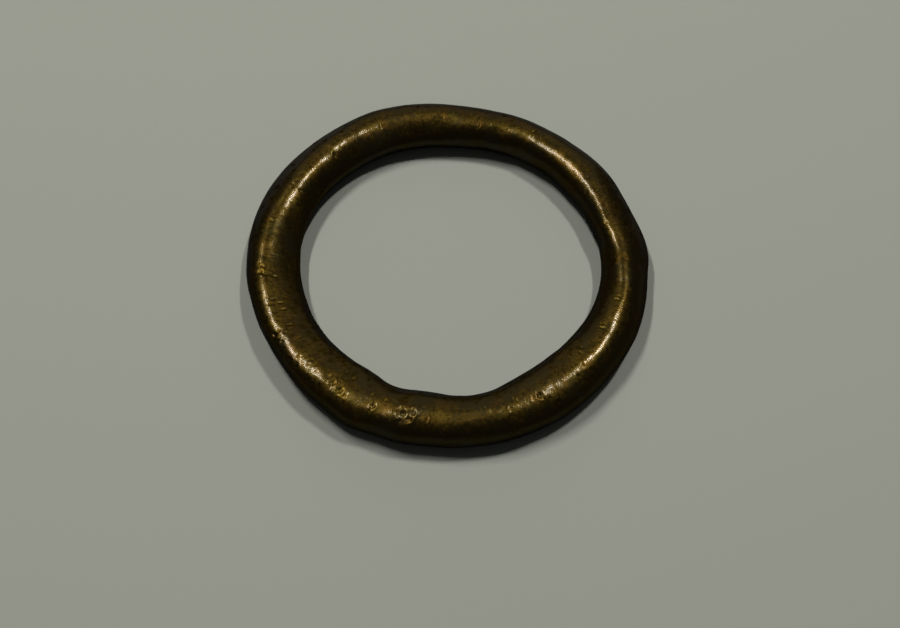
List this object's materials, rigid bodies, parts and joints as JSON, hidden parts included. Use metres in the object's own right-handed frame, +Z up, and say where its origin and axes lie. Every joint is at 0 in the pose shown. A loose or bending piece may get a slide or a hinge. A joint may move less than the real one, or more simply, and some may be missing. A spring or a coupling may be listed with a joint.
{
  "type": "solid cast key ring",
  "caption": "Closed one-piece cast bronze ring for gathering keys or straps: a round, slightly uneven band around an open eye, with a worn dark brown patina.",
  "frame": {"origin": "middle of the ring's outline, on the surface that it lies on", "axes": "+Z up along the eye's axis, +Y towards the flattened stretch of the band, +X to the right of it"},
  "size_m": [0.0354, 0.035, 0.0035],
  "materials": {
    "bronze": "dark brown patina over cast bronze, pitted, worn to bare golden metal on the high spots"
  },
  "bodies": {
    "root": {"ring": "bronze"}
  },
  "joints": []
}
